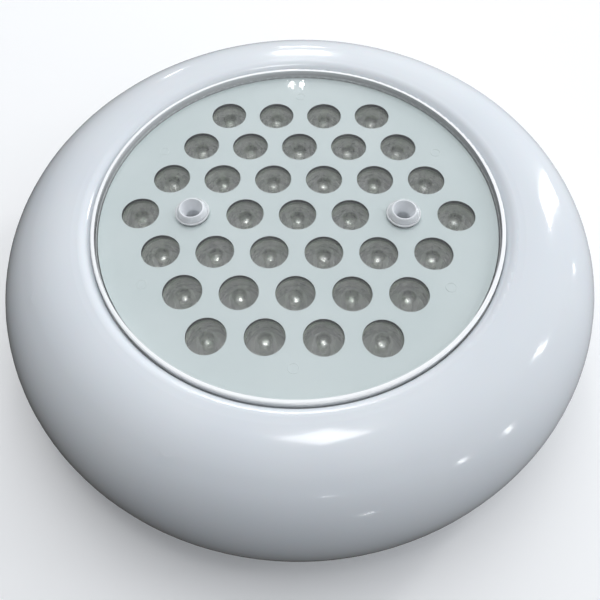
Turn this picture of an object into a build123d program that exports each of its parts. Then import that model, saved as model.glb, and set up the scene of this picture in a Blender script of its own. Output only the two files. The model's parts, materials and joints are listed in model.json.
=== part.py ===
"""Surface-mounted underwater pool light: a flooded ring housing round a sealed lamp pan with a hexagonal
grid of LED optics, and the wall bracket that it sits on.

Millimetres, +Z out of the pool wall, origin in the middle of the bracket on the wall plane.
"""

import os
from math import atan2, cos, degrees, radians, sin, sqrt

from build123d import *

# ---------------------------------------------------------------- driving dimensions
# Grid of optics
led_pitch = 25.0  # between neighbouring optics
grid_rings = 3  # rings of optics round the middle one
sleeve_place = 2  # grid places from the middle that the two fixing sleeves take
window_radius = 8.9  # hole in the mask over each optic
mask_margin = 10.1  # from the outermost window to the edge of the mask

# Stack of the lamp, from the wall outwards
bracket_thickness = 3.0
recess_depth = 22.0  # from the wall to the floor of the pan
floor_thickness = 3.0
driver_space = 25.9
spreader_thickness = 3.0
pad_thickness = 0.5
board_thickness = 1.6
optic_height = 11.6
optic_gap = 0.8  # air between the optics and the mask
mask_thickness = 1.6
lens_gap = 1.0  # air between the mask and the clear cover
lens_thickness = 3.4
lip_rise = 0.6  # the ring's crest above the clear cover

# Ring housing
wall = 3.0
crown_radius = 43.0  # outer section, from the crest to the widest place
skirt_radius = 60.0  # outer section below the widest place
crest_width = 3.1  # level band between the lip's rounding and the crown
lip_rounding = 5.0
skirt_gap = 0.6  # the ring's rim stays off the wall
cover_thickness = 3.0
cover_inset = 2.4  # the rear cover sits this far inside the rim
rim_clearance = 0.4
rim_rounding = 1.2

# Lamp pan and clear cover
flange_width = 12.0
flange_thickness = 3.0
lens_side_wall = 1.8
lens_flange_width = 4.6
lens_flange_thickness = 2.8
lens_flange_drop = 1.4  # below the mask's underside
lens_edge_rounding = 0.8
lens_hole_gap = 0.3
pan_gap = 1.0  # round the mask
side_gap = 0.6  # between the mask and the clear cover's side wall
lip_gap = 0.5  # between the clear cover and the ring's lip
gasket_thickness = 1.7
gasket_width = 3.4
gasket_inset = 0.3
ledge_width = 4.0
ledge_height = 3.0

# Fixing sleeves
sleeve_bore_radius = 3.2
funnel_depth = 5.5
funnel_wall = 0.8  # between the funnel's mouth and the sleeve's rim
sleeve_radius = 7.2
sleeve_taper = 1.1  # the collar narrows by this much towards its rim
thread_allowance = 0.1  # round a threaded tube where it passes through the pan
sleeve_rim_chamfer = 0.4
floor_seal_inset = 1.6  # from the shoulder's edge
sleeve_hole_gap = 0.5  # round the sleeve, in the mask and the boards
sleeve_shoulder_width = 3.2
sleeve_shoulder_thickness = 2.4
sleeve_thread_wall = 2.4  # from the bore to the thread
nut_thickness = 4.0
nut_wall = 3.9  # from the thread to the flats
seal_section = 1.0  # of the groove for the floor's O-rings
lens_seal_section = 0.5  # radius of the O-rings under the clear cover

# Optics and emitters
optic_flange = 1.1  # the optic's edge beyond its window
optic_foot_radius = 5.0
optic_edge_thickness = 1.4
optic_cavity_radius = 3.3
optic_cavity_depth = 5.6
optic_well_radius = 3.4
optic_well_depth = 2.4
optic_draft = 0.4  # the cavity and the well narrow by this much
optic_waist_radius = 8.1  # the reflecting side's middle point
optic_waist_height = 5.2
optic_bulge = 0.8  # height of the curved faces on the optic's axis
package_side = 3.5
package_thickness = 0.9
dome_radius = 1.5
holder_clearance = 0.1
holder_wall = 0.8
holder_seat = 0.7  # ledge that carries the optic's edge
connector_size = (5.5, 3.0, 3.0)
connector_chamfer = 0.4

# Boards and their fastenings
board_margin = 1.5
post_radius = 3.0
post_offset = 14.3  # from the outer row of optics to the mask's posts
screw_radius = 1.4
screw_head_radius = 2.7
screw_head_height = 2.0
screw_grip = 8.0  # depth of a screw's hole in plastic
screw_end_gap = 1.0  # under a screw's tip
screw_clearance = 0.2
head_chamfer = 0.5
drive_length = 2.6  # cross recess in a screw's head
drive_width = 0.7
drive_depth = 1.1
spreader_clearance = 0.5
pillar_radius = 4.0
pillar_drop = 1.0  # the ring's screw pillars end this far below its crest

# Driver
driver_length = 80.0
driver_width = 50.0
driver_from_middle = 20.0
driver_lift = 5.0
driver_hole_inset = 4.5
driver_corner = 3.0
capacitor_radius = 6.0
capacitor_height = 15.0
capacitor_rounding = 0.8
capacitor_places = [(-24.0, 13.0), (-10.0, 13.0)]  # from the middle of the driver board
inductor_radius = 8.0
inductor_core_radius = 6.4
inductor_flange_thickness = 1.5
inductor_core_height = 6.0
inductor_place = (10.0, 12.0)
rectifier_size = (15.0, 11.0, 4.0)
rectifier_chamfer = 0.6
rectifier_place = (-24.0, -5.0)
chip_size = (5.0, 6.2, 1.6)
chip_places = [(-4.0, -6.0), (8.0, -6.0), (20.0, -6.0)]
input_terminal_x = -24.0
terminal_size = (11.0, 8.0, 10.0)
terminal_pitch = 5.0
terminal_y = -18.0  # from the middle of the driver board
terminal_entry = 3.0
terminal_entry_height = 3.0
terminal_screw_radius = 1.7
terminal_cut = 3.0
lead_radius = 0.8
lead_gap = 0.4
lead_run = 6.0
lead_bend = 2.5
grommet_radius = 3.2
grommet_wall = 1.1
grommet_rim = 1.0

# Cable gland
gland_thread_radius = 10.0
gland_wall = 2.0  # from the larger thread to the flats
gland_flange_thickness = 5.0
gland_washer_thickness = 1.5
gland_inner_length = 11.0
locknut_thickness = 4.0
nut_thread_wall = 3.0  # from the seal's seat to the nut's thread
nut_thread_length = 7.5
cable_radius = 4.5
seal_wall = 1.9
seal_seat_depth = 5.0
cage_length = 2.1
cage_wall = 1.9
cap_floor = 1.3
nut_chamfer = 1.0
thread_clearance = 0.08
moving_gap = 0.3
seal_seat_gap = 0.1
gland_bore_gap = 0.7  # round the cable in the gland's body
cap_hole_gap = 1.2  # round the cable in the nut
washer_inset = 0.3
locknut_wall = 3.0  # from the thread to the flats
cage_slots = 12
cage_slot_width = 0.8
hex_sides = 6

# Wall bracket
bracket_width = 50.0
cable_hole_radius = 18.0
bracket_pillar_radius = 8.0
insert_radius = 4.0
insert_length = 12.0
insert_bore_radius = 2.5
slot_offset = 18.0  # from a fixing sleeve to the slot beyond it
slot_length = 12.0
bracket_end_margin = 14.0  # from the slot's middle to the bracket's end
wall_hole_radius = 2.7
wall_hole_offset = 6.5  # from the cable hole's edge to a wall hole, and on to the disc's edge
rib_thickness = 2.4
rib_height = 5.0
rib_start = 1.0  # from the edge of the cable hole

# Ring of screws
ring_screws = 8
cover_screw_circle_inset = 26.0  # from the ring's widest radius
flange_screw_inset = 4.5  # from the flange's edge
drain_slots = 16
drain_slot_length = 14.0
drain_slot_width = 4.0
cover_screw_angle = 180 / ring_screws  # half way between the pan's screws

# ---------------------------------------------------------------- heights
floor_top = recess_depth + floor_thickness
spreader_bottom = floor_top + driver_space
spreader_top = spreader_bottom + spreader_thickness
board_bottom = spreader_top + pad_thickness
board_top = board_bottom + board_thickness
optic_top = board_top + optic_height
mask_bottom = optic_top + optic_gap
mask_top = mask_bottom + mask_thickness
lens_bottom = mask_top + lens_gap
lens_top = lens_bottom + lens_thickness
crest = lens_top + lip_rise
collar_top = lens_bottom + 2 * lens_seal_section
widest_height = crest - crown_radius
lens_flange_top = mask_bottom - lens_flange_drop
lens_flange_bottom = lens_flange_top - lens_flange_thickness
flange_top = lens_flange_bottom - gasket_thickness
flange_bottom = flange_top - flange_thickness
cover_bottom = skirt_gap + cover_inset
cover_top = cover_bottom + cover_thickness

# ---------------------------------------------------------------- radii
row_height = led_pitch * sqrt(3) / 2
mask_radius = grid_rings * led_pitch + window_radius + mask_margin
lens_wall_inner = mask_radius + side_gap
lens_radius = lens_wall_inner + lens_side_wall
lip_radius = lens_radius + lip_gap
lens_flange_radius = lens_radius + lens_flange_width
crown_centre = lip_radius + lip_rounding + crest_width
ring_radius = crown_centre + crown_radius
skirt_centre = ring_radius - skirt_radius
pan_inner = mask_radius + pan_gap
pan_radius = pan_inner + wall
flange_radius = pan_radius + flange_width
flange_screw_circle = flange_radius - flange_screw_inset
cover_screw_circle = ring_radius - cover_screw_circle_inset
drain_circle = (pan_radius + cover_screw_circle) / 2
optic_radius = window_radius + optic_flange
board_radius = grid_rings * led_pitch + optic_radius + board_margin
spreader_radius = pan_inner - spreader_clearance
engine_screw_circle = board_radius + pillar_radius
post_circle = grid_rings * row_height + post_offset
sleeve_x = sleeve_place * led_pitch
sleeve_top_radius = sleeve_radius - sleeve_taper
funnel_radius = sleeve_top_radius - funnel_wall
sleeve_shoulder_radius = sleeve_radius + sleeve_shoulder_width
sleeve_thread_radius = sleeve_bore_radius + sleeve_thread_wall
sleeve_nut_flats = 2 * (sleeve_thread_radius + nut_wall)
seal_outer = cable_radius + seal_wall
seat_radius = seal_outer + seal_seat_gap
nut_thread_radius = seat_radius + nut_thread_wall
gland_flats = 2 * (max(gland_thread_radius, nut_thread_radius) + gland_wall)
locknut_flats = 2 * (gland_thread_radius + locknut_wall)
slot_centre = sleeve_x + slot_offset
bracket_end = slot_centre + bracket_end_margin
wall_hole_centre = cable_hole_radius + wall_hole_offset
bracket_disc_radius = wall_hole_centre + wall_hole_offset
floor_seal_radius = sleeve_shoulder_radius - floor_seal_inset

# ---------------------------------------------------------------- places
hexagon = [(cos(radians(30 + 60 * k)), sin(radians(30 + 60 * k))) for k in range(6)]
sleeve_points = [(-sleeve_x, 0), (sleeve_x, 0)]
post_points = [(post_circle * x, post_circle * y) for x, y in hexagon]
engine_screw_points = [(engine_screw_circle * x, engine_screw_circle * y) for x, y in hexagon]
driver_centre_y = driver_from_middle + driver_width / 2
driver_hole_x = driver_length / 2 - driver_hole_inset
driver_hole_y = driver_width / 2 - driver_hole_inset
driver_holes = [
    (x, driver_centre_y + y)
    for x in (-driver_hole_x, driver_hole_x)
    for y in (-driver_hole_y, driver_hole_y)
]
lead_hole = (led_pitch / 2, row_height / 3)  # the middle of three neighbouring optics


def optic_points():
    """Every place of the hexagonal grid except the two that the sleeves take."""
    points = []
    for row in range(-grid_rings, grid_rings + 1):
        count = 2 * grid_rings + 1 - abs(row)
        for place in range(count):
            x = (place - (count - 1) / 2) * led_pitch
            if row != 0 or abs(abs(x) - sleeve_x) > led_pitch / 4:
                points.append((x, row * row_height))
    return points


def skirt_inner_radius(height):
    """Inner radius of the ring's skirt at a height below the widest place."""
    drop = widest_height - height
    return skirt_centre + sqrt((skirt_radius - wall) ** 2 - drop**2)


def save(builder, name):
    builder.part.label = name
    export_step(builder.part, f"parts/{name}.step")


os.makedirs("parts", exist_ok=True)
standing = (Align.CENTER, Align.CENTER, Align.MIN)
led_points = optic_points()

# ---------------------------------------------------------------- ring housing
rim_drop = widest_height - skirt_gap
rim_outer = skirt_centre + sqrt(skirt_radius**2 - rim_drop**2)
rim_inner = skirt_inner_radius(skirt_gap)
lip_bend = (lip_radius + lip_rounding, crest - lip_rounding)

rim_angle = degrees(atan2(rim_drop, rim_outer - skirt_centre))
inner_angle = degrees(atan2(rim_drop, rim_inner - skirt_centre))

with BuildPart() as envelope:
    with BuildSketch(Plane.XZ):
        with BuildLine():
            crown = CenterArc((crown_centre, widest_height), crown_radius, 0, 90)
            side = CenterArc((skirt_centre, widest_height), skirt_radius, 0, -rim_angle)
            Polyline(side @ 1, (0, skirt_gap), (0, crest), crown @ 1)
        make_face()
    revolve(axis=Axis.Z)

with BuildPart() as screw_pillars:
    with BuildSketch(Plane.XY.offset(flange_top)):
        with PolarLocations(flange_screw_circle, ring_screws):
            Circle(pillar_radius)
    extrude(amount=crest - flange_top - pillar_drop)
    with BuildSketch(Plane.XY.offset(cover_top)):
        with PolarLocations(cover_screw_circle, ring_screws, start_angle=cover_screw_angle):
            Circle(pillar_radius)
    extrude(amount=crest - cover_top - pillar_drop)
    add(envelope.part, mode=Mode.INTERSECT)

with BuildPart() as face_ring:
    with BuildSketch(Plane.XZ):
        with BuildLine():
            lip_outer = CenterArc(lip_bend, lip_rounding, 90, 90)
            crown_outer = CenterArc((crown_centre, widest_height), crown_radius, 90, -90)
            skirt_outer = CenterArc((skirt_centre, widest_height), skirt_radius, 0, -rim_angle)
            inner_radius = skirt_radius - wall
            skirt_inner = CenterArc((skirt_centre, widest_height), inner_radius, -inner_angle, inner_angle)
            crown_inner = CenterArc((crown_centre, widest_height), crown_radius - wall, 0, 90)
            lip_inner = CenterArc(lip_bend, lip_rounding - wall, 90, 90)
            Line(lip_outer @ 0, crown_outer @ 0)
            Line(skirt_outer @ 1, skirt_inner @ 0)
            Line(crown_inner @ 1, lip_inner @ 0)
            Polyline(
                lip_inner @ 1,
                (lip_radius + wall, lens_flange_top),
                (lip_radius, lens_flange_top),
                lip_outer @ 1,
            )
        make_face()
    revolve(axis=Axis.Z)
    rim = face_ring.edges().filter_by(GeomType.CIRCLE).group_by(Axis.Z)[0].sort_by(SortBy.RADIUS)[-1]
    fillet(rim, rim_rounding)
    add(screw_pillars.part)
    with BuildSketch(Plane.XY.offset(flange_top)):
        with PolarLocations(flange_screw_circle, ring_screws):
            Circle(screw_radius)
    extrude(amount=screw_grip, mode=Mode.SUBTRACT)
    with BuildSketch(Plane.XY.offset(cover_top)):
        with PolarLocations(cover_screw_circle, ring_screws, start_angle=cover_screw_angle):
            Circle(screw_radius)
    extrude(amount=screw_grip, mode=Mode.SUBTRACT)
save(face_ring, "face_ring")

# Annular plate that closes the ring from behind, with a collar up to the pan's floor
with BuildPart() as rear_cover:
    with BuildSketch(Plane.XZ):
        with BuildLine():
            Polyline(
                (pan_inner, cover_bottom),
                (skirt_inner_radius(cover_bottom) - rim_clearance, cover_bottom),
                (skirt_inner_radius(cover_top) - rim_clearance, cover_top),
                (pan_radius, cover_top),
                (pan_radius, recess_depth),
                (pan_inner, recess_depth),
                close=True,
            )
        make_face()
    revolve(axis=Axis.Z)
    with BuildSketch(Plane.XY.offset(cover_bottom)):
        with PolarLocations(cover_screw_circle, ring_screws, start_angle=cover_screw_angle):
            Circle(screw_radius + screw_clearance)
        with PolarLocations(drain_circle, drain_slots, start_angle=cover_screw_angle / 2):
            SlotOverall(drain_slot_length, drain_slot_width, rotation=90)
    extrude(amount=cover_thickness, mode=Mode.SUBTRACT)
save(rear_cover, "rear_cover")


def ring_screw_set(circle, seat, thread_end, start_angle):
    """Pan-head screws on a circle, heads below seat and threads up to thread_end."""
    with BuildPart() as screws:
        with BuildSketch(Plane.XY.offset(seat - screw_head_height)):
            with PolarLocations(circle, ring_screws, start_angle=start_angle):
                Circle(screw_head_radius)
        extrude(amount=screw_head_height)
        chamfer(screws.edges().group_by(Axis.Z)[0], head_chamfer)
        with BuildSketch(Plane.XY.offset(seat)):
            with PolarLocations(circle, ring_screws, start_angle=start_angle):
                Circle(screw_radius)
        extrude(amount=thread_end - seat)
        with BuildSketch(Plane.XY.offset(seat - screw_head_height)):
            with PolarLocations(circle, ring_screws, start_angle=start_angle):
                Rectangle(drive_length, drive_width)
                Rectangle(drive_width, drive_length)
        extrude(amount=drive_depth, mode=Mode.SUBTRACT)
    return screws


thread_length = screw_grip - screw_end_gap
cover_screws = ring_screw_set(cover_screw_circle, cover_bottom, cover_top + thread_length, cover_screw_angle)
save(cover_screws, "rear_cover_screws")
pan_screws = ring_screw_set(flange_screw_circle, flange_bottom, flange_top + thread_length, 0)
save(pan_screws, "pan_screws")

# ---------------------------------------------------------------- lamp pan
with BuildPart() as lamp_pan:
    with BuildSketch(Plane.XZ):
        with BuildLine():
            Polyline(
                (0, recess_depth),
                (pan_radius, recess_depth),
                (pan_radius, flange_bottom),
                (flange_radius, flange_bottom),
                (flange_radius, flange_top),
                (pan_inner, flange_top),
                (pan_inner, spreader_bottom),
                (pan_inner - ledge_width, spreader_bottom),
                (pan_inner - ledge_width, spreader_bottom - ledge_height),
                (pan_inner, spreader_bottom - ledge_height - ledge_width),
                (pan_inner, floor_top),
                (0, floor_top),
                close=True,
            )
        make_face()
    revolve(axis=Axis.Z)
    with BuildSketch(Plane.XY.offset(floor_top)):
        with Locations(*engine_screw_points):
            Circle(pillar_radius)
    extrude(amount=driver_space)
    with BuildSketch(Plane.XY.offset(floor_top)):
        with Locations(*driver_holes):
            Circle(pillar_radius)
    extrude(amount=driver_lift)
    with BuildSketch(Plane.XY.offset(spreader_bottom)):
        with Locations(*engine_screw_points):
            Circle(screw_radius)
    extrude(amount=-screw_grip, mode=Mode.SUBTRACT)
    with BuildSketch(Plane.XY.offset(floor_top + driver_lift)):
        with Locations(*driver_holes):
            Circle(screw_radius)
    extrude(amount=-driver_lift, mode=Mode.SUBTRACT)
    with BuildSketch(Plane.XY.offset(recess_depth)):
        with Locations(*sleeve_points):
            Circle(sleeve_thread_radius + thread_allowance)
        Circle(gland_thread_radius + thread_allowance)
    extrude(amount=floor_thickness, mode=Mode.SUBTRACT)
    with BuildSketch(Plane.XY.offset(flange_bottom)):
        with PolarLocations(flange_screw_circle, ring_screws):
            Circle(screw_radius + screw_clearance)
    extrude(amount=flange_thickness, mode=Mode.SUBTRACT)
save(lamp_pan, "lamp_pan")

# ---------------------------------------------------------------- clear cover and its gasket
lens_hole_radius = sleeve_top_radius + lens_hole_gap
lens_hole_base = sleeve_radius + lens_hole_gap

with BuildPart() as front_lens:
    with BuildSketch(Plane.XZ):
        with BuildLine():
            Polyline(
                (0, lens_bottom),
                (lens_wall_inner, lens_bottom),
                (lens_wall_inner, lens_flange_bottom),
                (lens_flange_radius, lens_flange_bottom),
                (lens_flange_radius, lens_flange_top),
                (lens_radius, lens_flange_top),
                (lens_radius, lens_top),
                (0, lens_top),
                close=True,
            )
        make_face()
    revolve(axis=Axis.Z)
    outer_edge = front_lens.edges().filter_by(GeomType.CIRCLE).group_by(Axis.Z)[-1]
    fillet(outer_edge, lens_edge_rounding)
    with BuildSketch(Plane.XY.offset(lens_bottom)):
        with Locations(*sleeve_points):
            Circle(sleeve_radius + 2 * lens_seal_section)
    extrude(amount=collar_top - lens_bottom, mode=Mode.SUBTRACT)
    with Locations(*[(x, y, collar_top) for x, y in sleeve_points]):
        Cone(lens_hole_base, lens_hole_radius, lens_top - collar_top, align=standing, mode=Mode.SUBTRACT)
save(front_lens, "front_lens")

with BuildPart() as lens_gasket:
    with BuildSketch(Plane.XY.offset(flange_top)):
        Circle(lens_flange_radius - gasket_inset)
        Circle(lens_flange_radius - gasket_inset - gasket_width, mode=Mode.SUBTRACT)
    extrude(amount=gasket_thickness)
save(lens_gasket, "lens_gasket")

# ---------------------------------------------------------------- mask and LED engine
with BuildPart() as mask_plate:
    with BuildSketch(Plane.XY.offset(mask_bottom)):
        Circle(mask_radius)
        with Locations(*led_points):
            Circle(window_radius, mode=Mode.SUBTRACT)
        with Locations(*sleeve_points):
            Circle(sleeve_radius + sleeve_hole_gap, mode=Mode.SUBTRACT)
    extrude(amount=mask_thickness)
    with BuildSketch(Plane.XY.offset(board_top)):
        with Locations(*post_points):
            Circle(post_radius)
    extrude(amount=mask_bottom - board_top)
    with BuildSketch(Plane.XY.offset(board_top)):
        with Locations(*post_points):
            Circle(screw_radius)
    extrude(amount=screw_grip, mode=Mode.SUBTRACT)
save(mask_plate, "mask_plate")

# One collimating optic: a total-reflection cone with a cavity over the emitter and a small well on top
with BuildPart() as optic:
    edge_bottom = optic_top - optic_edge_thickness
    cavity_roof = board_top + optic_cavity_depth
    well_floor = optic_top - optic_well_depth
    well_middle = (0, well_floor + optic_bulge)
    roof_middle = (0, cavity_roof - optic_bulge)
    with BuildSketch(Plane.XZ):
        with BuildLine():
            Line((optic_cavity_radius, board_top), (optic_foot_radius, board_top))
            side_curve = ThreePointArc(
                (optic_foot_radius, board_top),
                (optic_waist_radius, board_top + optic_waist_height),
                (window_radius, edge_bottom),
            )
            Polyline(
                side_curve @ 1,
                (optic_radius, edge_bottom),
                (optic_radius, optic_top),
                (optic_well_radius, optic_top),
                (optic_well_radius - optic_draft, well_floor),
            )
            TangentArc(well_middle, (optic_well_radius - optic_draft, well_floor), tangent=(1, 0))
            Line(well_middle, roof_middle)
            TangentArc(roof_middle, (optic_cavity_radius - optic_draft, cavity_roof), tangent=(1, 0))
            Line((optic_cavity_radius - optic_draft, cavity_roof), (optic_cavity_radius, board_top))
        make_face()
    revolve(axis=Axis.Z)

with BuildPart() as collimator_optics:
    with Locations(*led_points):
        add(optic.part)
save(collimator_optics, "collimator_optics")

holder_inner = optic_radius + holder_clearance
with BuildPart() as optic_holders:
    with BuildSketch(Plane.XY.offset(board_top)):
        with Locations(*led_points):
            Circle(holder_inner + holder_wall)
            Circle(optic_radius - holder_seat, mode=Mode.SUBTRACT)
    extrude(amount=optic_height - optic_edge_thickness)
    with BuildSketch(Plane.XY.offset(optic_top - optic_edge_thickness)):
        with Locations(*led_points):
            Circle(holder_inner + holder_wall)
            Circle(holder_inner, mode=Mode.SUBTRACT)
    extrude(amount=optic_edge_thickness - holder_clearance)
save(optic_holders, "optic_holders")

with BuildPart() as led_packages:
    with BuildSketch(Plane.XY.offset(board_top)):
        with Locations(*led_points):
            Rectangle(package_side, package_side)
    extrude(amount=package_thickness)
save(led_packages, "led_packages")

with BuildPart() as led_domes:
    with Locations(*[(x, y, board_top + package_thickness) for x, y in led_points]):
        Sphere(dome_radius, arc_size1=0, align=standing)
save(led_domes, "led_domes")

with BuildPart() as board_connector:
    with Locations((lead_hole[0], lead_hole[1], board_top)):
        Box(*connector_size, align=standing)
    chamfer(board_connector.edges().group_by(Axis.Z)[-1], connector_chamfer)
save(board_connector, "board_connector")


def engine_disc(radius, bottom, thickness):
    """A round layer of the LED engine with the sleeves', posts' and leads' holes."""
    with BuildPart() as disc:
        with BuildSketch(Plane.XY.offset(bottom)):
            Circle(radius)
            with Locations(*sleeve_points):
                Circle(sleeve_radius + sleeve_hole_gap, mode=Mode.SUBTRACT)
            with Locations(*post_points):
                Circle(screw_radius + screw_clearance, mode=Mode.SUBTRACT)
            with Locations(lead_hole):
                Circle(grommet_radius - grommet_wall, mode=Mode.SUBTRACT)
        extrude(amount=thickness)
    return disc


save(engine_disc(board_radius, board_bottom, board_thickness), "led_board")
save(engine_disc(board_radius, spreader_top, pad_thickness), "thermal_pad")

with BuildPart() as heat_spreader:
    add(engine_disc(spreader_radius, spreader_bottom, spreader_thickness).part)
    with BuildSketch(Plane.XY.offset(spreader_bottom)):
        with Locations(*engine_screw_points):
            Circle(screw_radius + screw_clearance)
        with Locations(lead_hole):
            Circle(grommet_radius)
    extrude(amount=spreader_thickness, mode=Mode.SUBTRACT)
save(heat_spreader, "heat_spreader")

with BuildPart() as lead_grommet:
    with BuildSketch(Plane.XY.offset(spreader_bottom)):
        with Locations(lead_hole):
            Circle(grommet_radius)
            Circle(grommet_radius - grommet_wall, mode=Mode.SUBTRACT)
    extrude(amount=spreader_thickness)
    with BuildSketch(Plane.XY.offset(spreader_bottom)):
        with Locations(lead_hole):
            Circle(grommet_radius + grommet_rim)
            Circle(grommet_radius - grommet_wall, mode=Mode.SUBTRACT)
    extrude(amount=-grommet_rim)
save(lead_grommet, "lead_grommet")


def point_screws(points, seat, thread_end):
    """Small screws at the given points, heads on the side of seat away from thread_end."""
    towards_head = 1 if seat > thread_end else -1
    with BuildPart() as screws:
        with BuildSketch(Plane.XY.offset(seat)):
            with Locations(*points):
                Circle(screw_head_radius)
        extrude(amount=towards_head * screw_head_height)
        with BuildSketch(Plane.XY.offset(seat)):
            with Locations(*points):
                Circle(screw_radius)
        extrude(amount=thread_end - seat)
        with BuildSketch(Plane.XY.offset(seat + towards_head * screw_head_height)):
            with Locations(*points):
                Rectangle(drive_length, drive_width)
                Rectangle(drive_width, drive_length)
        extrude(amount=-towards_head * drive_depth, mode=Mode.SUBTRACT)
    return screws


save(point_screws(post_points, spreader_bottom, board_top + thread_length), "mask_screws")
save(point_screws(engine_screw_points, spreader_top, spreader_bottom - thread_length), "engine_screws")

# ---------------------------------------------------------------- fixing sleeves
shoulder_top = floor_top + sleeve_shoulder_thickness
nut_bottom = recess_depth - nut_thickness

with BuildPart() as sleeve:
    with BuildSketch(Plane.XZ):
        with BuildLine():
            Polyline(
                (sleeve_bore_radius, nut_bottom),
                (sleeve_thread_radius, nut_bottom),
                (sleeve_thread_radius, floor_top),
                (sleeve_shoulder_radius, floor_top),
                (sleeve_shoulder_radius, shoulder_top),
                (sleeve_radius, shoulder_top),
                (sleeve_radius, collar_top),
                (sleeve_top_radius, lens_top - sleeve_rim_chamfer),
                (sleeve_top_radius - sleeve_rim_chamfer, lens_top),
                (funnel_radius, lens_top),
                (sleeve_bore_radius, lens_top - funnel_depth),
                close=True,
            )
        make_face()
    revolve(axis=Axis.Z)
    with BuildSketch(Plane.XZ):
        with Locations((floor_seal_radius, floor_top)):
            Circle(seal_section)
    revolve(axis=Axis.Z, mode=Mode.SUBTRACT)

for side, x in (("left", -sleeve_x), ("right", sleeve_x)):
    with BuildPart() as placed_sleeve:
        with Locations((x, 0, 0)):
            add(sleeve.part)
    save(placed_sleeve, f"fixing_sleeve_{side}")


def sleeve_rings(radius, height, section):
    """A pair of O-rings, one round each sleeve."""
    with BuildPart() as rings:
        with Locations(*[(x, y, height) for x, y in sleeve_points]):
            Torus(radius, section)
    return rings


floor_seals = sleeve_rings(floor_seal_radius, floor_top + seal_section / 2, seal_section / 2)
save(floor_seals, "sleeve_floor_seals")

lens_seal_height = lens_bottom + lens_seal_section
lens_seals = sleeve_rings(sleeve_radius + lens_seal_section, lens_seal_height, lens_seal_section)
save(lens_seals, "sleeve_lens_seals")

with BuildPart() as sleeve_nuts:
    with BuildSketch(Plane.XY.offset(recess_depth)):
        with Locations(*sleeve_points):
            RegularPolygon(sleeve_nut_flats / 2, hex_sides, major_radius=False)
            Circle(sleeve_thread_radius, mode=Mode.SUBTRACT)
    extrude(amount=-nut_thickness)
save(sleeve_nuts, "sleeve_nuts")

# ---------------------------------------------------------------- driver
driver_bottom = floor_top + driver_lift
driver_top = driver_bottom + board_thickness

with BuildPart() as driver_board:
    with BuildSketch(Plane.XY.offset(driver_bottom)):
        with Locations((0, driver_centre_y)):
            RectangleRounded(driver_length, driver_width, driver_corner)
        with Locations(*driver_holes):
            Circle(screw_radius + screw_clearance, mode=Mode.SUBTRACT)
    extrude(amount=board_thickness)
save(driver_board, "driver_board")
save(point_screws(driver_holes, driver_top, floor_top + screw_end_gap), "driver_screws")


def on_driver(x, y):
    """A place on the driver board, from the board's middle."""
    return (x, driver_centre_y + y, driver_top)


with BuildPart() as smoothing_capacitors:
    with Locations(*[on_driver(x, y) for x, y in capacitor_places]):
        Cylinder(capacitor_radius, capacitor_height, align=standing)
    fillet(smoothing_capacitors.edges().group_by(Axis.Z)[-1], capacitor_rounding)
save(smoothing_capacitors, "smoothing_capacitors")

with BuildPart() as power_inductor:
    with BuildSketch(Plane.XY.offset(driver_top)):
        with Locations(on_driver(*inductor_place)[:2]):
            Circle(inductor_radius)
    extrude(amount=inductor_flange_thickness)
    with BuildSketch(Plane.XY.offset(driver_top + inductor_flange_thickness)):
        with Locations(on_driver(*inductor_place)[:2]):
            Circle(inductor_core_radius)
    extrude(amount=inductor_core_height)
    with BuildSketch(Plane.XY.offset(driver_top + inductor_flange_thickness + inductor_core_height)):
        with Locations(on_driver(*inductor_place)[:2]):
            Circle(inductor_radius)
    extrude(amount=inductor_flange_thickness)
save(power_inductor, "power_inductor")

with BuildPart() as bridge_rectifier:
    with Locations(on_driver(*rectifier_place)):
        Box(*rectifier_size, align=standing)
    chamfer(bridge_rectifier.edges().group_by(Axis.Z)[-1], rectifier_chamfer)
save(bridge_rectifier, "bridge_rectifier")

with BuildPart() as driver_chips:
    with Locations(*[on_driver(x, y) for x, y in chip_places]):
        Box(*chip_size, align=standing)
save(driver_chips, "driver_chips")


def terminal_block(name, x):
    """A two-way screw terminal, wire entries towards -Y and screws on top."""
    width, depth, height = terminal_size
    bx, by, bz = on_driver(x, terminal_y)
    ways = (bx - terminal_pitch / 2, bx + terminal_pitch / 2)
    with BuildPart() as block:
        with Locations((bx, by, bz)):
            Box(width, depth, height, align=standing)
        with BuildSketch(Plane.XY.offset(bz + height)):
            with Locations(*[(way, by) for way in ways]):
                Circle(terminal_screw_radius)
        extrude(amount=-terminal_cut, mode=Mode.SUBTRACT)
        with BuildSketch(Plane.XZ.offset(depth / 2 - by)):
            with Locations(*[(way, bz + terminal_entry_height) for way in ways]):
                Rectangle(terminal_entry, terminal_entry)
        extrude(amount=-terminal_cut, mode=Mode.SUBTRACT)
    save(block, name)


terminal_block("input_terminal", input_terminal_x)
terminal_block("output_terminal", lead_hole[0])


def lead(name, side):
    """A wire from one way of the output terminal, through the grommet to the LED board's underside."""
    terminal_x = lead_hole[0] + side * terminal_pitch / 2
    hole_x = lead_hole[0] + side * (lead_radius + lead_gap / 2)
    start_y = driver_centre_y + terminal_y - terminal_size[1] / 2
    entry = driver_top + terminal_entry_height
    route = [
        (terminal_x, start_y, entry),
        (terminal_x, start_y - lead_run, entry),
        (hole_x, lead_hole[1], entry + lead_run),
        (hole_x, lead_hole[1], board_top),
    ]
    with BuildPart() as wire:
        with BuildLine() as path:
            FilletPolyline(*route, radius=lead_bend)
        with BuildSketch(Plane(origin=path.wire() @ 0, z_dir=path.wire() % 0)):
            Circle(lead_radius)
        sweep(path=path.wire())
    save(wire, name)


lead("led_lead_red", 1)
lead("led_lead_black", -1)

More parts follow.
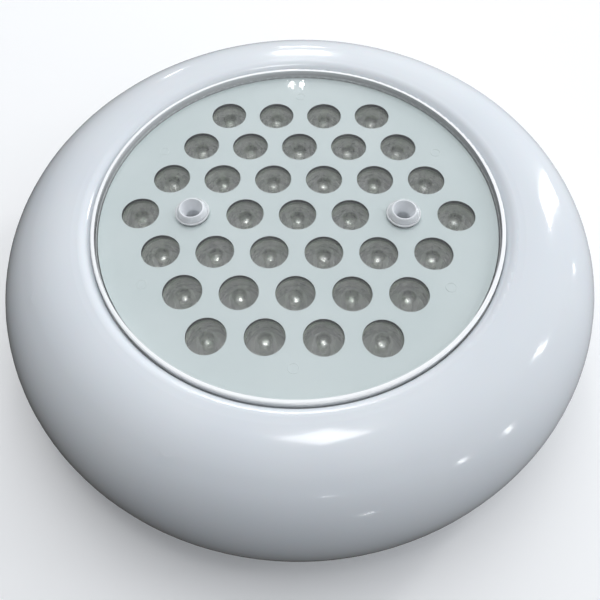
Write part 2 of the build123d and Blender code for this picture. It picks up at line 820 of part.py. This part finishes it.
# ---------------------------------------------------------------- cable gland
flange_gland_top = recess_depth - gland_washer_thickness
flange_gland_bottom = flange_gland_top - gland_flange_thickness
thread_end = flange_gland_bottom - nut_thread_length
seat_end = thread_end + seal_seat_depth
cage_inner = seal_outer + moving_gap
cage_outer = cage_inner + cage_wall
cage_top = thread_end - moving_gap
cage_bottom = cage_top - cage_length
cap_inner = cage_bottom
cap_bottom = cap_inner - cap_floor
seal_bottom = cage_bottom + moving_gap

with BuildPart() as gland_body:
    with BuildSketch(Plane.XY.offset(flange_gland_bottom)):
        RegularPolygon(gland_flats / 2, hex_sides, major_radius=False)
    extrude(amount=gland_flange_thickness)
    with BuildSketch(Plane.XY.offset(flange_gland_top)):
        Circle(gland_thread_radius)
    extrude(amount=gland_washer_thickness + gland_inner_length)
    with BuildSketch(Plane.XY.offset(thread_end)):
        Circle(nut_thread_radius)
    extrude(amount=nut_thread_length)
    with BuildSketch(Plane.XY.offset(thread_end)):
        Circle(cable_radius + gland_bore_gap)
    extrude(amount=floor_top + gland_inner_length - thread_end, mode=Mode.SUBTRACT)
    with BuildSketch(Plane.XY.offset(thread_end)):
        Circle(seat_radius)
    extrude(amount=seal_seat_depth, mode=Mode.SUBTRACT)
save(gland_body, "gland_body")

with BuildPart() as gland_washer:
    with BuildSketch(Plane.XY.offset(flange_gland_top)):
        Circle(gland_flats / 2 - washer_inset)
        Circle(gland_thread_radius, mode=Mode.SUBTRACT)
    extrude(amount=gland_washer_thickness)
save(gland_washer, "gland_washer")

with BuildPart() as gland_locknut:
    with BuildSketch(Plane.XY.offset(floor_top)):
        RegularPolygon(locknut_flats / 2, hex_sides, major_radius=False)
        Circle(gland_thread_radius, mode=Mode.SUBTRACT)
    extrude(amount=locknut_thickness)
save(gland_locknut, "gland_locknut")

with BuildPart() as gland_seal:
    with BuildSketch(Plane.XY.offset(seal_bottom)):
        Circle(seal_outer)
        Circle(cable_radius, mode=Mode.SUBTRACT)
    extrude(amount=seat_end - seal_bottom)
save(gland_seal, "gland_seal")

with BuildPart() as gland_cage:
    with BuildSketch(Plane.XY.offset(cage_bottom + moving_gap)):
        Circle(cage_outer)
        Circle(cage_inner, mode=Mode.SUBTRACT)
    extrude(amount=cage_length - moving_gap)
    with BuildSketch(Plane.XY.offset(cage_bottom + moving_gap)):
        with PolarLocations((cage_inner + cage_outer) / 2, cage_slots):
            Rectangle(2 * cage_wall, cage_slot_width)
    extrude(amount=cage_length / 2, mode=Mode.SUBTRACT)
save(gland_cage, "gland_cage")

with BuildPart() as gland_nut:
    with BuildSketch(Plane.XY.offset(cap_bottom)):
        RegularPolygon(gland_flats / 2, hex_sides, major_radius=False)
    extrude(amount=flange_gland_bottom - moving_gap - cap_bottom)
    chamfer(gland_nut.edges().group_by(Axis.Z)[0], nut_chamfer)
    with BuildSketch(Plane.XY.offset(cap_bottom)):
        Circle(cable_radius + cap_hole_gap)
    extrude(amount=cap_floor, mode=Mode.SUBTRACT)
    with BuildSketch(Plane.XY.offset(cap_inner)):
        Circle(nut_thread_radius + thread_clearance)
    extrude(amount=flange_gland_bottom - cap_inner, mode=Mode.SUBTRACT)
save(gland_nut, "gland_nut")

# ---------------------------------------------------------------- wall bracket
pillar_top = nut_bottom - moving_gap

with BuildPart() as wall_bracket:
    with BuildSketch():
        SlotOverall(2 * bracket_end, bracket_width)
        Circle(bracket_disc_radius)
        Circle(cable_hole_radius, mode=Mode.SUBTRACT)
        with Locations((-slot_centre, 0), (slot_centre, 0)):
            SlotOverall(slot_length, 2 * wall_hole_radius, mode=Mode.SUBTRACT)
        with Locations((0, -wall_hole_centre), (0, wall_hole_centre)):
            Circle(wall_hole_radius, mode=Mode.SUBTRACT)
    extrude(amount=bracket_thickness)
    with BuildSketch(Plane.XY.offset(bracket_thickness)):
        with Locations(*sleeve_points):
            Circle(bracket_pillar_radius)
    extrude(amount=pillar_top - bracket_thickness)
    with BuildSketch(Plane.XY.offset(bracket_thickness)):
        for x in (-1, 1):
            inner = cable_hole_radius + rib_start
            length = sleeve_x - inner
            with Locations((x * (inner + length / 2), 0)):
                Rectangle(length, rib_thickness)
    extrude(amount=rib_height)
    with BuildSketch(Plane.XY.offset(pillar_top)):
        with Locations(*sleeve_points):
            Circle(insert_radius)
    extrude(amount=-insert_length, mode=Mode.SUBTRACT)
save(wall_bracket, "wall_bracket")

with BuildPart() as bracket_inserts:
    with BuildSketch(Plane.XY.offset(pillar_top)):
        with Locations(*sleeve_points):
            Circle(insert_radius)
            Circle(insert_bore_radius, mode=Mode.SUBTRACT)
    extrude(amount=-insert_length)
save(bracket_inserts, "bracket_inserts")
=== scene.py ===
"""Looks of the underwater pool light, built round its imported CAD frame. Metres, +Z out of the wall."""
import json
import math

import bmesh
import bpy
from mathutils import Matrix, Vector


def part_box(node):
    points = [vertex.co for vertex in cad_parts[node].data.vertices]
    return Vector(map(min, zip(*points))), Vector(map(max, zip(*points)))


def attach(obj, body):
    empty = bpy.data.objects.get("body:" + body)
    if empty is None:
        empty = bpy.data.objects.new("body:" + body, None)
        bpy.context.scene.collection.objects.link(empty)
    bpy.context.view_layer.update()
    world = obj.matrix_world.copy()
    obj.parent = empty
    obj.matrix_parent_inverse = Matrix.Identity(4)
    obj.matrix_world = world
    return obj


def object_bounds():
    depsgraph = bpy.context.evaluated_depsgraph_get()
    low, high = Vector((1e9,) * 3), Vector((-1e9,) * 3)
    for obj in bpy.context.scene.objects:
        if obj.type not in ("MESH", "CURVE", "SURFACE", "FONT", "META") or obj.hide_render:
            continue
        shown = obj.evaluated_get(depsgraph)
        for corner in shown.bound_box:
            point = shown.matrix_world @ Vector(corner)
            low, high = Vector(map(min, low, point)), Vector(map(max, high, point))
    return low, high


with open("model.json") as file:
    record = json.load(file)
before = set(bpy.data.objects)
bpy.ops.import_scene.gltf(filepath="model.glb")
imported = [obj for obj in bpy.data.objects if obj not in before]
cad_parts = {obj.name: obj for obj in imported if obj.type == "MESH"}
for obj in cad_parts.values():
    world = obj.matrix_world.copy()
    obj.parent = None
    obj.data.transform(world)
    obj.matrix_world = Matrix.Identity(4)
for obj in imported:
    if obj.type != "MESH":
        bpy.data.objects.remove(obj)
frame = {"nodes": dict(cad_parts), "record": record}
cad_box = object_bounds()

NODES = frame["nodes"]
TAU = 2 * math.pi

# ---------------------------------------------------------------- camera
# Held above the rim on the -Y side, looking down and across the lamp
CAMERA_PLACE = Vector((0.0079, -0.1811, 0.3042))
CAMERA_ELEVATION = -60.15
CAMERA_AZIMUTH = -2.48
CAMERA_ROLL = -1.55
CAMERA_LENS = 37.08
CAMERA_SENSOR = 36
CAMERA_NEAR = 0.01

# ---------------------------------------------------------------- studio
ROOM_DIM = (0.05, 0.046, 0.04)
ROOM_BRIGHT = (0.74, 0.77, 0.82)
ROOM_SLOPE = (0.75, 0.45, 0.7)  # direction in which the room grows brighter
ROOM_DIM_UNTIL = -0.47  # places along that slope
ROOM_BRIGHT_FROM = 0.65
FLOOR_SIZE = 6
FLOOR_GAP = 0.0005  # under the part
OVERHEAD_PLACE = (-0.05, 0.5, 1.15)
OVERHEAD_TARGET = (0, 0, 0.05)
OVERHEAD_SIZE = (0.9, 0.9)
OVERHEAD_POWER = 4.9
PANEL_PLACE = (0.07, -0.045, 1.27)
PANEL_TARGET = (0, -0.11, 0.07)
PANEL_SIZE = (0.25, 0.22)
PANEL_POWER = 1.25
GLOW_DISTANCE = 3.0
GLOW_BRIGHTNESS = 12
WINDOW_AZIMUTH = -1.2
WINDOW_WIDTH = 6.2
WINDOW_SLATS = ((10.5, 1), (25, 8), (35.8, 1))  # elevation and height of each bright gap
SIDE_GLOWS = (  # azimuth from +Y towards +X, elevation, width and height
    (50, 17, 7, 26),
    (69, 4, 2, 2),
    (89, 27, 3, 8),
    (116, 8, 2, 5),
    (131, 15, 2, 4),
    (161, 1, 4, 1),
    (171, 29, 3, 1),
    (-21, 9, 3, 2),
)
COVER_SPOTS = (-2.8, -1.5)  # azimuths of two lamps that the flat cover mirrors
COVER_SPOT_ELEVATION = 39.8
COVER_SPOT_SIZE = 0.35
COVER_SPOT_BRIGHTNESS = 60


def add_camera():
    up, turn = math.radians(CAMERA_ELEVATION), math.radians(CAMERA_AZIMUTH)
    forward = Vector((math.cos(up) * math.sin(turn), math.cos(up) * math.cos(turn), math.sin(up)))
    data = bpy.data.cameras.new("camera")
    data.lens = CAMERA_LENS
    data.sensor_width = CAMERA_SENSOR
    data.clip_start = CAMERA_NEAR
    camera = bpy.data.objects.new("camera", data)
    bpy.context.collection.objects.link(camera)
    facing = forward.to_track_quat("-Z", "Y").to_matrix().to_4x4()
    roll = Matrix.Rotation(math.radians(CAMERA_ROLL), 4, "Z")
    camera.matrix_world = Matrix.Translation(CAMERA_PLACE) @ facing @ roll
    bpy.context.scene.camera = camera


# ---------------------------------------------------------------- materials
COVER_REFLECTION = 0.04  # share of light a face of the cover reflects when seen square on
COVER_EDGE_REFLECTION = 0.95  # the cover's thick rim scatters most of the light that meets it
FRESNEL_POWER = 5  # Schlick's curve from square on to edge on
RIM_START, RIM_FULL = 0.0003, 0.0006  # past the mask's edge, where the clear cover turns into its pale rim
FRONT_TILT = (0.6, 0.9)  # upward parts of a normal between which a face starts to count as a front
PATCHES = (0.35, 0.65)  # span of a noise that is spread between a material's two tones
GRAIN = (0.3, 0.7)  # span of a noise that is spread between its two roughnesses
HAZE_SPAN = (0.36, 0.62)
CORE_SPAN = (0.35, 0.6)
PLASTIC_IOR = 1.49
# Painted shade: the holders are near-black below the first of these shares and blend to grey-green by the
# second.
HOLDER_PAINTED_SHADE_UNTIL, HOLDER_UNSHADED_FROM = 0.34, 0.42  # shares of the holders' height
HOLDER_UNEVENNESS = 0.4
BRUSHED_ACROSS = (1, 12, 1)  # how much finer a metal's grain is along each axis
TURNED_STEEL = (1, 1, 8)
TURNED_BRASS = (1, 1, 14)


class Shader:
    """A Principled material and short ways to add procedural detail to it."""

    def __init__(self, name, **sockets):
        self.material = bpy.data.materials.new(name)
        self.material.use_nodes = True
        self.tree = self.material.node_tree
        self.bsdf = self.tree.nodes["Principled BSDF"]
        for key, value in sockets.items():
            self.bsdf.inputs[key.replace("_", " ")].default_value = value
        self.coords = self.tree.nodes.new("ShaderNodeTexCoord").outputs["Object"]
        self.height = None

    def noise(self, scale, detail, stretch=(1, 1, 1)):
        mapping = self.tree.nodes.new("ShaderNodeMapping")
        mapping.inputs["Scale"].default_value = stretch
        self.tree.links.new(self.coords, mapping.inputs["Vector"])
        node = self.tree.nodes.new("ShaderNodeTexNoise")
        node.inputs["Scale"].default_value = scale
        node.inputs["Detail"].default_value = detail
        self.tree.links.new(mapping.outputs["Vector"], node.inputs["Vector"])
        return node.outputs["Fac"]

    def ramp(self, value, low, high, low_out, high_out):
        node = self.tree.nodes.new("ShaderNodeMapRange")
        node.inputs["From Min"].default_value = low
        node.inputs["From Max"].default_value = high
        node.inputs["To Min"].default_value = low_out
        node.inputs["To Max"].default_value = high_out
        self.tree.links.new(value, node.inputs["Value"])
        return node.outputs["Result"]

    def distance_from_axis(self):
        """Metres from the lamp's middle axis."""
        flat = self.tree.nodes.new("ShaderNodeVectorMath")
        flat.operation = "MULTIPLY"
        flat.inputs[1].default_value = (1, 1, 0)
        self.tree.links.new(self.coords, flat.inputs[0])
        length = self.tree.nodes.new("ShaderNodeVectorMath")
        length.operation = "LENGTH"
        self.tree.links.new(flat.outputs["Vector"], length.inputs[0])
        return length.outputs["Value"]

    def level(self):
        """Height over the wall, in metres."""
        axes = self.tree.nodes.new("ShaderNodeSeparateXYZ")
        self.tree.links.new(self.coords, axes.inputs["Vector"])
        return axes.outputs["Z"]

    def math(self, operation, first, second):
        node = self.tree.nodes.new("ShaderNodeMath")
        node.operation = operation
        self.tree.links.new(first, node.inputs[0])
        self.tree.links.new(second, node.inputs[1])
        return node.outputs["Value"]

    def larger(self, first, second):
        return self.math("MAXIMUM", first, second)

    def sum(self, first, second):
        return self.math("ADD", first, second)

    def facing_out(self):
        """1 where the surface faces +Z, away from the wall, and 0 on walls and undersides."""
        geometry = self.tree.nodes.new("ShaderNodeNewGeometry")
        axes = self.tree.nodes.new("ShaderNodeSeparateXYZ")
        self.tree.links.new(geometry.outputs["Normal"], axes.inputs["Vector"])
        return self.ramp(axes.outputs["Z"], *FRONT_TILT, 0, 1)

    def blend(self, value, first, second):
        """A colour between first and second, each a colour or a socket."""
        node = self.tree.nodes.new("ShaderNodeMix")
        node.data_type = "RGBA"
        for socket, color in ((node.inputs[6], first), (node.inputs[7], second)):
            if isinstance(color, tuple):
                socket.default_value = (*color, 1)
            else:
                self.tree.links.new(color, socket)
        self.tree.links.new(value, node.inputs[0])
        return node.outputs[2]

    def set_color(self, color):
        self.tree.links.new(color, self.bsdf.inputs["Base Color"])

    def mix_color(self, value, first, second):
        self.set_color(self.blend(value, first, second))

    def vary_roughness(self, value, low, high):
        self.tree.links.new(self.ramp(value, *GRAIN, low, high), self.bsdf.inputs["Roughness"])

    def bump(self, value, strength, distance):
        node = self.tree.nodes.new("ShaderNodeBump")
        node.inputs["Strength"].default_value = strength
        node.inputs["Distance"].default_value = distance
        self.tree.links.new(value, node.inputs["Height"])
        if self.height is not None:
            self.tree.links.new(self.height, node.inputs["Normal"])
        self.height = node.outputs["Normal"]
        self.tree.links.new(self.height, self.bsdf.inputs["Normal"])


def gloss_white():
    """Moulded white shell: clear gloss, with a faint long wave and a fine grain in the surface."""
    shader = Shader("gloss_white", Coat_Weight=0.35, Coat_Roughness=0.05, Subsurface_Weight=0.04,
                    Subsurface_Scale=0.004)
    tone = shader.ramp(shader.noise(14, detail=2), *PATCHES, 0, 1)
    shader.mix_color(tone, (0.675, 0.712, 0.748), (0.705, 0.738, 0.765))
    shader.vary_roughness(shader.noise(60, detail=4), low=0.10, high=0.17)
    shader.bump(shader.noise(18, detail=1), strength=0.05, distance=0.002)
    shader.bump(shader.noise(900, detail=2), strength=0.03, distance=0.0002)
    return shader.material


def mask_plastic():
    """Mask that is pale grey-green on its front face, with painted shade that turns the walls of its holes
    black.
    """
    shader = Shader("mask_plastic")
    front = shader.facing_out()
    tone = shader.ramp(shader.noise(25, detail=3), *PATCHES, 0, 1)
    printed = shader.blend(tone, (0.552, 0.625, 0.618), (0.582, 0.65, 0.643))
    # Painted shade: faces that don't face out, which are the walls of the holes, get near-black in place of
    # the printed colour.
    shader.set_color(shader.blend(front, (0.008, 0.009, 0.009), printed))
    shader.vary_roughness(shader.noise(220, detail=3), low=0.36, high=0.48)
    shader.bump(shader.noise(1600, detail=2), strength=0.06, distance=0.0001)
    return shader.material


def clear_plastic(name, tint, roughness, clarity):
    shader = Shader(name, Base_Color=(*tint, 1), Roughness=roughness, Transmission_Weight=clarity,
                    IOR=PLASTIC_IOR)
    shader.bump(shader.noise(40, detail=2), strength=0.015, distance=0.0004)
    return shader.material


def optic_plastic():
    """Moulded optics: clear, with a grey-green haze that is thicker in some places than others."""
    shader = Shader("optic_plastic", Roughness=0.02, Transmission_Weight=0.8, IOR=PLASTIC_IOR, Alpha=0.5)
    haze = shader.ramp(shader.noise(150, detail=2), *HAZE_SPAN, 0, 1)
    shader.mix_color(haze, (0.8, 0.86, 0.76), (1.0, 1.0, 0.96))
    shader.bump(shader.noise(260, detail=2), strength=0.05, distance=0.0006)
    return shader.material


def cover_plastic():
    """The cover: flat and clear over the mask, with a pale rim that scatters light.

    What its polished faces don't reflect passes straight through, so its see-through share is its Alpha.
    """
    shader = Shader("cover_plastic", Roughness=0.035)
    edge_on = shader.tree.nodes.new("ShaderNodeLayerWeight").outputs["Facing"]
    curve = shader.tree.nodes.new("ShaderNodeMath")
    curve.operation = "POWER"
    curve.inputs[1].default_value = FRESNEL_POWER
    shader.tree.links.new(edge_on, curve.inputs[0])
    reflected = shader.ramp(curve.outputs["Value"], 0, 1, COVER_REFLECTION, 1)
    mask_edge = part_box("mask_plate")[1][0]
    rim = shader.ramp(shader.distance_from_axis(), mask_edge + RIM_START, mask_edge + RIM_FULL, 0, 1)
    edge = shader.ramp(rim, 0, 1, 0, COVER_EDGE_REFLECTION)
    shader.tree.links.new(shader.larger(reflected, edge), shader.bsdf.inputs["Alpha"])
    shader.tree.links.new(shader.ramp(rim, 0, 1, 1, 0), shader.bsdf.inputs["Metallic"])
    shader.mix_color(rim, (1.0, 1.0, 1.0), (0.97, 0.98, 0.98))
    shader.bump(shader.noise(16, detail=2), strength=0.006, distance=0.001)
    return shader.material


def core_plastic():
    """Polished inner faces of the optics, which mirror the room."""
    shader = Shader("core_plastic", Roughness=0.045, Metallic=0.85, Alpha=0.85)
    tone = shader.ramp(shader.noise(500, detail=2), *CORE_SPAN, 0, 1)
    shader.mix_color(tone, (0.34, 0.38, 0.33), (1.0, 1.0, 0.97))
    shader.bump(shader.noise(420, detail=2), strength=0.5, distance=0.0006)
    return shader.material


def holder_plastic():
    """Optic holders: grey-green above, with painted shade that turns them dark towards the board, and an
    uneven edge between the two.
    """
    low, high = (corner[2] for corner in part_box("optic_holders"))
    shader = Shader("holder_plastic")
    height = shader.ramp(shader.level(), low, high, 0, 1)
    uneven = shader.ramp(shader.noise(420, detail=2), *GRAIN, -HOLDER_UNEVENNESS, HOLDER_UNEVENNESS)
    upper = shader.ramp(shader.sum(height, uneven), HOLDER_PAINTED_SHADE_UNTIL, HOLDER_UNSHADED_FROM, 0, 1)
    # Painted shade: near-black on the lower part of the holders, towards the board.
    shader.mix_color(upper, (0.012, 0.013, 0.012), (0.9, 0.95, 0.85))
    shader.vary_roughness(shader.noise(260, detail=3), low=0.3, high=0.45)
    shader.bump(shader.noise(700, detail=2), strength=0.15, distance=0.0002)
    return shader.material


def moulded(name, dark, light, rough_low, rough_high):
    shader = Shader(name)
    shader.mix_color(shader.ramp(shader.noise(70, detail=3), *PATCHES, 0, 1), dark, light)
    shader.vary_roughness(shader.noise(260, detail=3), rough_low, rough_high)
    shader.bump(shader.noise(1200, detail=2), strength=0.12, distance=0.0001)
    return shader.material


def metal(name, dark, light, rough_low, rough_high, stretch):
    shader = Shader(name, Metallic=1.0)
    shader.mix_color(shader.ramp(shader.noise(90, 4, stretch), *PATCHES, 0, 1), dark, light)
    shader.vary_roughness(shader.noise(400, 4, stretch), rough_low, rough_high)
    shader.bump(shader.noise(900, 3, stretch), strength=0.08, distance=0.0001)
    return shader.material


def make_finishes():
    return {
        "ring_white": gloss_white(),
        "sleeve_white": moulded("sleeve_plastic", (0.76, 0.78, 0.80), (0.82, 0.84, 0.86), 0.18, 0.28),
        "pan_white": moulded("pan_plastic", (0.66, 0.68, 0.69), (0.72, 0.74, 0.75), 0.38, 0.5),
        "cover_clear": cover_plastic(),
        "optic_clear": optic_plastic(),
        "mask_grey": mask_plastic(),
        "holder_grey": holder_plastic(),
        "emitter": moulded("emitter_ceramic", (0.80, 0.79, 0.66), (0.86, 0.84, 0.70), 0.3, 0.4),
        "dome": clear_plastic("dome_silicone", (0.97, 0.96, 0.86), 0.03, 0.5),
        "board_white": moulded("board_white_mask", (0.60, 0.62, 0.60), (0.66, 0.68, 0.66), 0.3, 0.42),
        "board_green": moulded("board_green_mask", (0.01, 0.09, 0.035), (0.02, 0.14, 0.06), 0.28, 0.4),
        "pad_grey": moulded("pad_silicone", (0.16, 0.17, 0.19), (0.21, 0.22, 0.24), 0.6, 0.75),
        "aluminium": metal("spreader_aluminium", (0.58, 0.59, 0.60), (0.70, 0.71, 0.72), 0.28, 0.42,
                           BRUSHED_ACROSS),
        "steel": metal("stainless_steel", (0.48, 0.48, 0.47), (0.62, 0.61, 0.60), 0.22, 0.36, TURNED_STEEL),
        "brass": metal("turned_brass", (0.52, 0.38, 0.15), (0.68, 0.52, 0.24), 0.22, 0.36, TURNED_BRASS),
        "silicone_clear": clear_plastic("seal_silicone", (0.9, 0.92, 0.93), 0.2, 0.35),
        "rubber": moulded("seal_rubber", (0.02, 0.021, 0.022), (0.04, 0.041, 0.043), 0.55, 0.75),
        "gland_black": moulded("gland_nylon", (0.016, 0.017, 0.018), (0.034, 0.035, 0.037), 0.36, 0.5),
        "bracket_white": moulded("bracket_plastic", (0.62, 0.64, 0.65), (0.69, 0.71, 0.72), 0.4, 0.52),
        "component_black": moulded("component_epoxy", (0.012, 0.012, 0.013), (0.026, 0.026, 0.028),
                                   0.4, 0.55),
        "terminal_grey": moulded("terminal_nylon", (0.15, 0.165, 0.17), (0.2, 0.215, 0.22), 0.4, 0.55),
        "lead_red": moulded("lead_red_skin", (0.33, 0.015, 0.012), (0.42, 0.025, 0.02), 0.4, 0.5),
        "lead_black": moulded("lead_black_skin", (0.012, 0.012, 0.012), (0.024, 0.024, 0.024), 0.4, 0.5),
    }


def paint_nodes(finishes):
    slots = {row["node"]: row["material_slot"] for row in frame["record"]["subparts"]}
    for name, node in NODES.items():
        material = finishes[slots[name]]
        node.data.materials.clear()
        node.data.materials.append(material)


# ---------------------------------------------------------------- cores of the optics
CORE_RADIUS = 0.0028
CORE_TOP_GAP = 0.0028  # under the optics' front faces
CORE_FOOT_GAP = 0.0003  # over the emitters' domes
CORE_DOME_HEIGHT = 0.0016
SAME_POINT = 1e-6  # corners this close are one
CORE_SIDES = 32
CORE_DOME_STEPS = 6


def solid_centres(name):
    """Middle of each separate solid of a node, seen from above."""
    mesh = bmesh.new()
    mesh.from_mesh(NODES[name].data)
    bmesh.ops.remove_doubles(mesh, verts=mesh.verts, dist=SAME_POINT)
    unseen = set(mesh.verts)
    centres = []
    while unseen:
        group = [unseen.pop()]
        for vert in group:
            for edge in vert.link_edges:
                other = edge.other_vert(vert)
                if other in unseen:
                    unseen.remove(other)
                    group.append(other)
        xs = [vert.co.x for vert in group]
        ys = [vert.co.y for vert in group]
        centres.append(((min(xs) + max(xs)) / 2, (min(ys) + max(ys)) / 2))
    mesh.free()
    return sorted((round(y, 5), round(x, 5)) for x, y in centres)


def add_core(mesh, x, y, bottom, top):
    """A round stem with a domed top."""
    shoulder = top - CORE_DOME_HEIGHT
    levels = [(CORE_RADIUS, height) for height in (bottom, (bottom + shoulder) / 2, shoulder)]
    for step in range(1, CORE_DOME_STEPS):
        rise = math.pi / 2 * step / CORE_DOME_STEPS
        levels.append((CORE_RADIUS * math.cos(rise), shoulder + CORE_DOME_HEIGHT * math.sin(rise)))
    loops = []
    turns = [TAU * side / CORE_SIDES for side in range(CORE_SIDES)]
    for radius, height in levels:
        ring = [(x + radius * math.cos(turn), y + radius * math.sin(turn), height) for turn in turns]
        loops.append([mesh.verts.new(place) for place in ring])
    for lower, upper in zip(loops, loops[1:]):
        for side in range(CORE_SIDES):
            after = (side + 1) % CORE_SIDES
            mesh.faces.new((lower[side], lower[after], upper[after], upper[side]))
    peak = mesh.verts.new((x, y, top))
    for side in range(CORE_SIDES):
        mesh.faces.new((loops[-1][side], loops[-1][(side + 1) % CORE_SIDES], peak))
    mesh.faces.new(reversed(loops[0]))


def add_optic_cores():
    """The bright core that each optic shows over its emitter."""
    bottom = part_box("led_domes")[1][2] + CORE_FOOT_GAP
    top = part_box("collimator_optics")[1][2] - CORE_TOP_GAP
    mesh = bmesh.new()
    for y, x in solid_centres("led_packages"):
        add_core(mesh, x, y, bottom, top)
    cores = finish_mesh(mesh, "optic_cores", core_plastic())
    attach(cores, "lamp")


# ---------------------------------------------------------------- marks on the mask
MARK_RADIUS = 0.0023
MARK_WIDTH = 0.0003
MARK_HEIGHT = 0.00012
MARK_COUNT = 6
MARK_STEPS = 48  # round the ring
MARK_SIDES = 8  # round its section
SCREW_HEAD_RADIUS = 0.0027


def add_mask_marks():
    """Faint moulded rings on the mask's front, over the posts that hold it."""
    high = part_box("mask_plate")[1]
    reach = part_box("mask_screws")[1][1]
    circle = reach - SCREW_HEAD_RADIUS
    mesh = bmesh.new()
    for number in range(MARK_COUNT):
        angle = TAU * (number + 0.5) / MARK_COUNT
        centre = Vector((circle * math.cos(angle), circle * math.sin(angle), high[2]))
        add_ring(mesh, centre, MARK_RADIUS, MARK_WIDTH, MARK_HEIGHT)
    mark_plastic = moulded("mark_plastic", (0.60, 0.665, 0.66), (0.63, 0.695, 0.69), 0.36, 0.48)
    marks = finish_mesh(mesh, "mask_marks", mark_plastic)
    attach(marks, "lamp")


def add_ring(mesh, centre, radius, width, height):
    """A rounded ring that lies at centre's level."""
    loops = []
    for step in range(MARK_STEPS):
        turn = TAU * step / MARK_STEPS
        loop = []
        for side in range(MARK_SIDES):
            tilt = TAU * side / MARK_SIDES
            reach = radius + width / 2 * math.cos(tilt)
            rise = height * math.sin(tilt)
            offset = Vector((reach * math.cos(turn), reach * math.sin(turn), rise))
            loop.append(mesh.verts.new(centre + offset))
        loops.append(loop)
    for step, loop in enumerate(loops):
        following = loops[(step + 1) % MARK_STEPS]
        for side in range(MARK_SIDES):
            other = (side + 1) % MARK_SIDES
            mesh.faces.new((loop[side], following[side], following[other], loop[other]))


def finish_mesh(mesh, name, material):
    data = bpy.data.meshes.new(name)
    mesh.to_mesh(data)
    mesh.free()
    data.shade_smooth()
    data.materials.append(material)
    piece = bpy.data.objects.new(name, data)
    bpy.context.collection.objects.link(piece)
    return piece


# ---------------------------------------------------------------- stage
def area_light(name, place, target, size, power, seen=True):
    """A rectangular light; one that isn't seen lights surfaces but leaves no highlight on them."""
    data = bpy.data.lights.new(name, "AREA")
    data.shape = "RECTANGLE"
    data.size, data.size_y = size
    data.energy = power
    light = bpy.data.objects.new(name, data)
    light.location = place
    light.visible_glossy = seen
    light.rotation_euler = (Vector(target) - Vector(place)).to_track_quat("-Z", "Y").to_euler()
    bpy.context.collection.objects.link(light)
    return data


def glow(name, azimuth, elevation, width, height, brightness):
    """A bright patch far off in the room, placed and sized by angles in degrees."""
    turn, rise = math.radians(azimuth), math.radians(elevation)
    toward = Vector((math.sin(turn) * math.cos(rise), math.cos(turn) * math.cos(rise), math.sin(rise)))
    middle = Vector((0, 0, cad_box[1][2]))
    size = [GLOW_DISTANCE * math.radians(angle) for angle in (width, height)]
    power = brightness * math.pi * size[0] * size[1]
    return area_light(name, middle + GLOW_DISTANCE * toward, middle, size, power)


def add_world():
    """Pale room that grows brighter upwards, away from the viewer and to the right."""
    world = bpy.data.worlds.new("studio")
    world.use_nodes = True
    tree = world.node_tree
    coords = tree.nodes.new("ShaderNodeTexCoord")
    along = tree.nodes.new("ShaderNodeVectorMath")
    along.operation = "DOT_PRODUCT"
    along.inputs[1].default_value = Vector(ROOM_SLOPE).normalized()
    tree.links.new(coords.outputs["Generated"], along.inputs[0])
    share = tree.nodes.new("ShaderNodeMapRange")
    share.inputs["From Min"].default_value = ROOM_DIM_UNTIL
    share.inputs["From Max"].default_value = ROOM_BRIGHT_FROM
    tree.links.new(along.outputs["Value"], share.inputs["Value"])
    tone = tree.nodes.new("ShaderNodeMix")
    tone.data_type = "RGBA"
    tone.inputs[6].default_value = (*ROOM_DIM, 1)
    tone.inputs[7].default_value = (*ROOM_BRIGHT, 1)
    tree.links.new(share.outputs["Result"], tone.inputs[0])
    tree.links.new(tone.outputs[2], tree.nodes["Background"].inputs["Color"])
    bpy.context.scene.world = world


def add_stage():
    bpy.ops.mesh.primitive_plane_add(size=FLOOR_SIZE, location=(0, 0, cad_box[0][2] - FLOOR_GAP))
    floor = bpy.context.object
    floor.name = "floor"
    paper = Shader("floor_paper", Base_Color=(0.95, 0.95, 0.945, 1), Roughness=0.8)
    floor.data.materials.append(paper.material)
    floor.visible_diffuse = False  # it throws no light on the lamp, whose underside is dark in the photo
    floor.visible_glossy = False
    add_world()
    area_light("overhead", OVERHEAD_PLACE, OVERHEAD_TARGET, OVERHEAD_SIZE, OVERHEAD_POWER, seen=False)
    area_light("ceiling_panel", PANEL_PLACE, PANEL_TARGET, PANEL_SIZE, PANEL_POWER)
    for elevation, height in WINDOW_SLATS:
        glow("window_slat", WINDOW_AZIMUTH, elevation, WINDOW_WIDTH, height, GLOW_BRIGHTNESS)
    for azimuth, elevation, width, height in SIDE_GLOWS:
        glow("side_glow", azimuth, elevation, width, height, GLOW_BRIGHTNESS)
    for azimuth in COVER_SPOTS:
        spot = glow("cover_spot", azimuth, COVER_SPOT_ELEVATION, COVER_SPOT_SIZE, COVER_SPOT_SIZE,
                    COVER_SPOT_BRIGHTNESS)
        spot.shape = "ELLIPSE"


bpy.context.scene.view_settings.view_transform = "Standard"
add_camera()
finishes = make_finishes()
paint_nodes(finishes)
add_optic_cores()
add_mask_marks()
add_stage()
